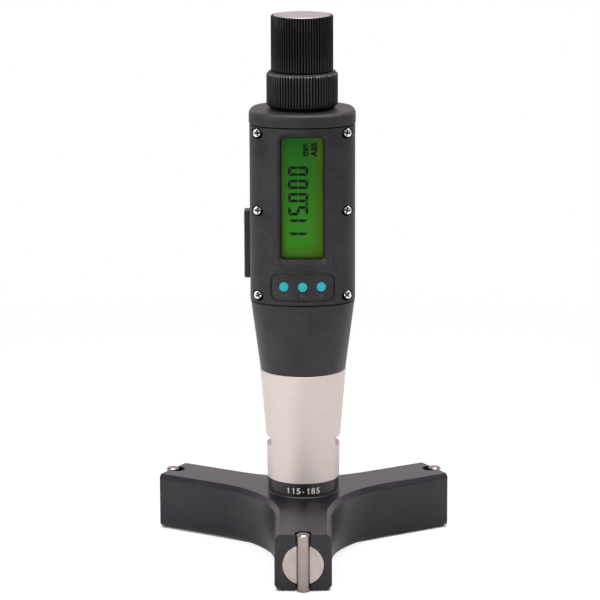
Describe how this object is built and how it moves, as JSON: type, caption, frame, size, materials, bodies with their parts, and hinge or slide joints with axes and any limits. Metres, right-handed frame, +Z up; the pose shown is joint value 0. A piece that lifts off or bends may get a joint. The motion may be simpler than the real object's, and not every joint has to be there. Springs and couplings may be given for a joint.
{
  "type": "digital inside micrometer",
  "caption": "Upright digital inside micrometer: dark head with display, keys and knurled thimble on a pale sleeve, above a three-armed body with measuring bolts and contact pins.",
  "frame": {"origin": "on the instrument axis at the underside of the three-armed body", "axes": "+Z up along the instrument axis to the knob, -Y towards the display and the front arm, +X to the right of the display"},
  "size_m": [0.1046, 0.0933, 0.1898],
  "materials": {
    "dark_anodised": "dark hard anodised, fine milled grain",
    "black_anodised": "black anodised, satin",
    "satin_nickel": "satin nickel, turned",
    "ground_steel": "ground steel",
    "contact_steel": "hardened ground steel",
    "machine_steel": "machined steel",
    "screw_steel": "steel screw",
    "bright_screw": "bright nickel plated",
    "bronze": "bearing bronze",
    "grey_aluminium": "bare aluminium",
    "housing_plastic": "fine textured moulded plastic",
    "tray_plastic": "fine textured moulded plastic",
    "black_knurl": "straight knurled, worn bright at the edges",
    "black_knob": "straight knurled",
    "cap_plate": "plain satin disc",
    "cyan_plastic": "moulded keys",
    "clear_window": "clear window",
    "green_display": "liquid crystal cell on a green backlight",
    "diffuser_plastic": "light diffuser",
    "board_laminate": "circuit board",
    "black_rubber": "moulded key mat",
    "cell_steel": "coin cell case"
  },
  "bodies": {
    "head": {"arm_body": "dark_anodised", "base_cover": "dark_anodised", "base_cover_screws": "screw_steel", "guide_keys": "screw_steel", "gear_carrier": "bronze", "range_collar": "black_anodised", "head_sleeve": "satin_nickel", "rear_housing": "housing_plastic", "front_cover": "housing_plastic", "cover_screws": "bright_screw", "display_window": "clear_window", "lcd_panel": "green_display", "backlight_panel": "diffuser_plastic", "circuit_board": "board_laminate", "keypad_mat": "black_rubber", "battery_contacts": "bronze", "shaft_tube": "grey_aluminium", "lower_bush": "bronze", "upper_bush": "bronze", "encoder_stator": "board_laminate"},
    "thimble": {"drive_thimble": "black_knurl", "drive_shaft": "machine_steel", "bevel_pinion": "machine_steel", "encoder_rotor": "grey_aluminium", "clutch_plate": "machine_steel", "clutch_springs": "machine_steel", "stem_screw": "screw_steel"},
    "knob": {"ratchet_knob": "black_knob", "knob_cap": "cap_plate"},
    "screw_1": {"lead_screw_1": "machine_steel", "bevel_gear_1": "machine_steel"},
    "screw_2": {"lead_screw_2": "machine_steel", "bevel_gear_2": "machine_steel"},
    "screw_3": {"lead_screw_3": "machine_steel", "bevel_gear_3": "machine_steel"},
    "bolt_1": {"measuring_bolt_1": "ground_steel", "contact_pin_1": "contact_steel"},
    "bolt_2": {"measuring_bolt_2": "ground_steel", "contact_pin_2": "contact_steel"},
    "bolt_3": {"measuring_bolt_3": "ground_steel", "contact_pin_3": "contact_steel"},
    "left_key": {"left_button": "cyan_plastic"},
    "middle_key": {"middle_button": "cyan_plastic"},
    "right_key": {"right_button": "cyan_plastic"},
    "tray": {"battery_tray": "tray_plastic", "coin_cell": "cell_steel"}
  },
  "joints": [
    {"name": "thimble_turn", "type": "hinge", "parent": "head", "child": "thimble", "pos_m": [0, 0, 0.164], "axis": [0, 0, -1], "range_deg": [0, 6300]},
    {"name": "knob_turn", "type": "hinge", "parent": "thimble", "child": "knob", "pos_m": [0, 0, 0.18], "axis": [0, 0, -1], "continuous": true},
    {"name": "screw_turn_1", "type": "hinge", "parent": "head", "child": "screw_1", "pos_m": [0, 0, 0.0088], "axis": [0, -1, 0], "range_deg": [0, 6300]},
    {"name": "screw_turn_2", "type": "hinge", "parent": "head", "child": "screw_2", "pos_m": [0, 0, 0.0088], "axis": [0.866, 0.5, 0], "range_deg": [0, 6300]},
    {"name": "screw_turn_3", "type": "hinge", "parent": "head", "child": "screw_3", "pos_m": [0, 0, 0.0088], "axis": [-0.866, 0.5, 0], "range_deg": [0, 6300]},
    {"name": "bolt_slide_1", "type": "slide", "parent": "head", "child": "bolt_1", "axis": [0, -1, 0], "range_m": [0, 0.035]},
    {"name": "bolt_slide_2", "type": "slide", "parent": "head", "child": "bolt_2", "axis": [0.866, 0.5, 0], "range_m": [0, 0.035]},
    {"name": "bolt_slide_3", "type": "slide", "parent": "head", "child": "bolt_3", "axis": [-0.866, 0.5, 0], "range_m": [0, 0.035]},
    {"name": "left_press", "type": "slide", "parent": "head", "child": "left_key", "axis": [0, 1, 0], "range_m": [0, 0.0005], "stiffness_N_per_m": 300, "springref_m": -0.0005},
    {"name": "middle_press", "type": "slide", "parent": "head", "child": "middle_key", "axis": [0, 1, 0], "range_m": [0, 0.0005], "stiffness_N_per_m": 300, "springref_m": -0.0005},
    {"name": "right_press", "type": "slide", "parent": "head", "child": "right_key", "axis": [0, 1, 0], "range_m": [0, 0.0005], "stiffness_N_per_m": 300, "springref_m": -0.0005},
    {"name": "tray_slide", "type": "slide", "parent": "head", "child": "tray", "axis": [-1, 0, 0], "range_m": [0, 0.026]}
  ],
  "couplings": [
    {"joint": "thimble_turn", "follows": "bolt_slide_1", "rad_per_m": 3141.6},
    {"joint": "screw_turn_1", "follows": "bolt_slide_1", "rad_per_m": 3141.6},
    {"joint": "screw_turn_2", "follows": "bolt_slide_1", "rad_per_m": 3141.6},
    {"joint": "screw_turn_3", "follows": "bolt_slide_1", "rad_per_m": 3141.6},
    {"joint": "bolt_slide_2", "follows": "bolt_slide_1", "ratio": 1},
    {"joint": "bolt_slide_3", "follows": "bolt_slide_1", "ratio": 1}
  ]
}
